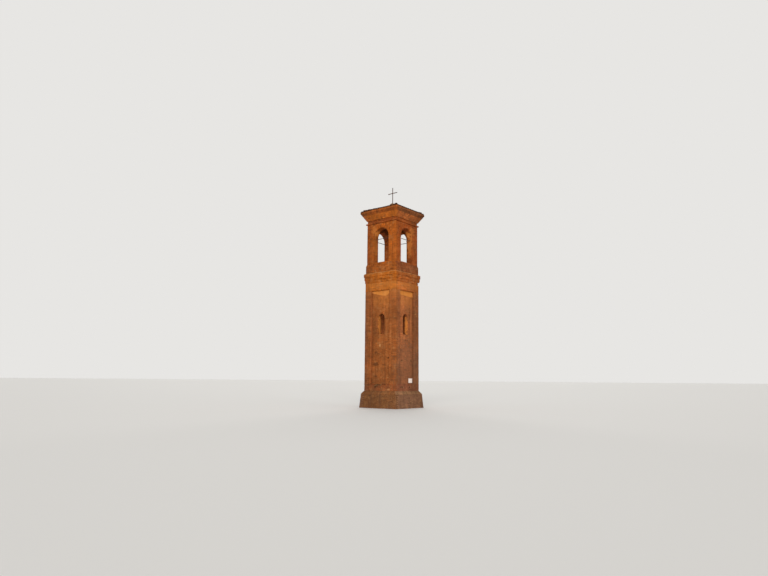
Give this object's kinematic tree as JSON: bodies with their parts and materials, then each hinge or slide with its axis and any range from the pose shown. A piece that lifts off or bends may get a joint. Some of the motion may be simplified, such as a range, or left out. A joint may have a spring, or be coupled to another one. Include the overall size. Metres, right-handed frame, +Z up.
{
  "type": "bell tower",
  "caption": "Square brick bell tower: battered plinth, panelled shaft with slit windows, arched bell chamber, corbelled cornice, low tiled roof and iron cross.",
  "frame": {"origin": "on the ground at the middle of the square foot", "axes": "+Z up to the cross, -Y the front face, +X the right face with the notice board"},
  "size_m": [3.22, 3.22, 15.272],
  "materials": {
    "plinth_brick": "weathered tan brick, wide lime joints",
    "shaft_brick": "weathered red-brown brick, lime joints",
    "belfry_brick": "weathered orange brick, lime joints",
    "floor_brick": "dusty brick paving",
    "roof_tile": "weathered clay tile",
    "forged_iron": "dark rusted iron",
    "board_paint": "matt off-white paint, blank"
  },
  "bodies": {
    "root": {"arch_ties": "forged_iron", "arch_wall_back": "belfry_brick", "arch_wall_front": "belfry_brick", "arch_wall_left": "belfry_brick", "arch_wall_right": "belfry_brick", "belfry_parapet_back": "belfry_brick", "belfry_parapet_front": "belfry_brick", "belfry_parapet_left": "belfry_brick", "belfry_parapet_right": "belfry_brick", "belfry_pier_back_left": "belfry_brick", "belfry_pier_back_right": "belfry_brick", "belfry_pier_front_left": "belfry_brick", "belfry_pier_front_right": "belfry_brick", "belfry_sills": "belfry_brick", "bell_chamber_floor": "floor_brick", "cornice_back": "belfry_brick", "cornice_front": "belfry_brick", "cornice_left": "belfry_brick", "cornice_right": "belfry_brick", "cross_bar": "forged_iron", "cross_mast": "forged_iron", "hip_tiles": "roof_tile", "notice_board": "board_paint", "plinth_back": "plinth_brick", "plinth_front": "plinth_brick", "plinth_left": "plinth_brick", "plinth_right": "plinth_brick", "roof_cap": "roof_tile", "roof_slope_back": "roof_tile", "roof_slope_front": "roof_tile", "roof_slope_left": "roof_tile", "roof_slope_right": "roof_tile", "shaft_panel_back": "shaft_brick", "shaft_panel_front": "shaft_brick", "shaft_panel_left": "shaft_brick", "shaft_panel_right": "shaft_brick", "shaft_pier_back_left": "shaft_brick", "shaft_pier_back_right": "shaft_brick", "shaft_pier_front_left": "shaft_brick", "shaft_pier_front_right": "shaft_brick", "string_course_back": "shaft_brick", "string_course_front": "shaft_brick", "string_course_left": "shaft_brick", "string_course_right": "shaft_brick"}
  },
  "joints": []
}
